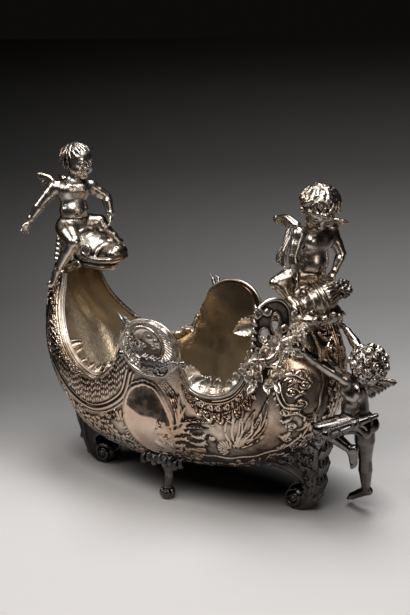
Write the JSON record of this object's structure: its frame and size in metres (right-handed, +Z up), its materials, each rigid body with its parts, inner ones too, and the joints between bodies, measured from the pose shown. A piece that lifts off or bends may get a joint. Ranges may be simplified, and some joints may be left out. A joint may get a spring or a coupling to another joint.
{
  "type": "planter",
  "caption": "Sleigh-shaped rococo silver planter on scrolled feet, with a dolphin's head at its prow and winged putti that ride it, lean on an urn and push it.",
  "frame": {"origin": "centre of the footprint, on the surface it stands on", "axes": "+X along the planter from the prow to the stern, +Y across it to the far side, +Z up"},
  "size_m": [0.5562, 0.2662, 0.4752],
  "materials": {
    "bowl_silver": "aged silver plate, polished on the high spots and tarnished in the hollows",
    "cast_silver": "aged silver plate over castings",
    "dark_silver": "dark, tarnished silver plate over castings",
    "nut_steel": "plain turned steel"
  },
  "bodies": {
    "root": {"bowl": "bowl_silver", "rider_body": "cast_silver", "pourer_body": "cast_silver", "pusher_body": "cast_silver", "dolphin_head": "cast_silver", "side_foot_far": "dark_silver", "stern_seat": "dark_silver", "side_foot_near": "dark_silver", "prow_rim_far": "cast_silver", "stern_foot": "dark_silver", "prow_rim_near": "cast_silver", "prow_foot": "dark_silver", "roundel_far": "cast_silver", "roundel_near": "cast_silver", "pourer_head": "cast_silver", "waist_rim_far": "cast_silver", "waist_rim_near": "cast_silver", "pourer_right_arm": "cast_silver", "pusher_head": "cast_silver", "urn": "cast_silver", "rider_head": "cast_silver", "garland_far": "cast_silver", "pourer_left_arm": "cast_silver", "pusher_left_arm": "cast_silver", "garland_near": "cast_silver", "stern_scroll_near": "cast_silver", "stern_scroll_far": "cast_silver", "pusher_right_arm": "cast_silver", "urn_fruit": "cast_silver", "pourer_left_wing": "cast_silver", "rider_left_arm": "cast_silver", "roundel_shell_near": "cast_silver", "roundel_shell_far": "cast_silver", "quiver": "cast_silver", "rider_left_wing": "cast_silver", "pourer_right_wing": "cast_silver", "pusher_right_wing": "cast_silver", "rider_right_wing": "cast_silver", "rider_right_arm": "cast_silver", "side_foot_far_nut": "nut_steel", "side_foot_near_nut": "nut_steel", "prow_foot_nut": "nut_steel", "stern_foot_nut": "nut_steel", "pusher_left_wing": "cast_silver"}
  },
  "joints": []
}
